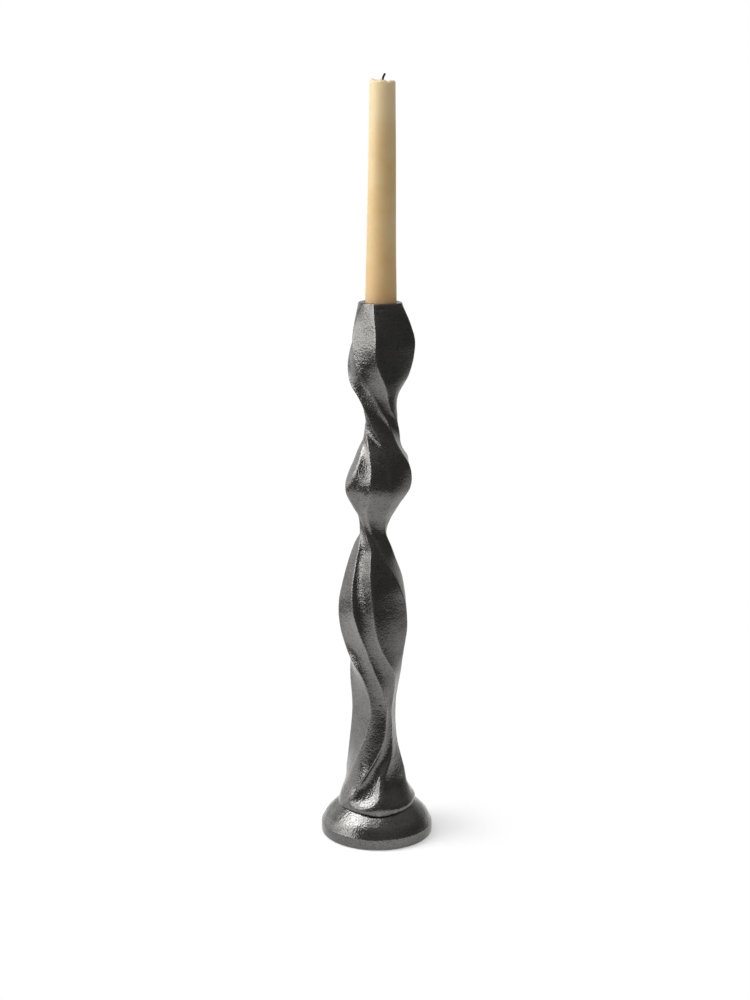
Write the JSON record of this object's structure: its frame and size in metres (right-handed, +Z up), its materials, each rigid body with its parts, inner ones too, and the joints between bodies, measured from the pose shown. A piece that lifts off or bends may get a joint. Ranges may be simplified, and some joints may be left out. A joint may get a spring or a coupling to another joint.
{
  "type": "spiral candle holder",
  "caption": "Tall twisted cast-metal candle holder on a domed round foot, with a taper candle that lifts out of its socket.",
  "frame": {"origin": "centre of the resting face, the underside of the felt disc under the foot", "axes": "+Z up along the candle and the socket, -Y towards the front as pictured, +X to the right of that view"},
  "size_m": [0.082, 0.082, 0.5482],
  "materials": {
    "blackened_casting": "blackened sand-cast aluminium, waxed to a soft gloss",
    "steel": "zinc-plated",
    "felt": "pressed wool felt",
    "wax": "dipped candle wax, satin",
    "cotton": "braided cotton, burnt at the tip"
  },
  "bodies": {
    "holder": {"twisted_stem": "blackened_casting", "domed_foot": "blackened_casting", "foot_washer": "steel", "foot_screw": "steel", "felt_disc": "felt"},
    "candle": {"taper_candle": "wax", "cotton_wick": "cotton"}
  },
  "joints": [
    {"name": "candle_lift", "type": "slide", "parent": "holder", "child": "candle", "axis": [0, 0, 1], "range_m": [0, 0.03]}
  ]
}
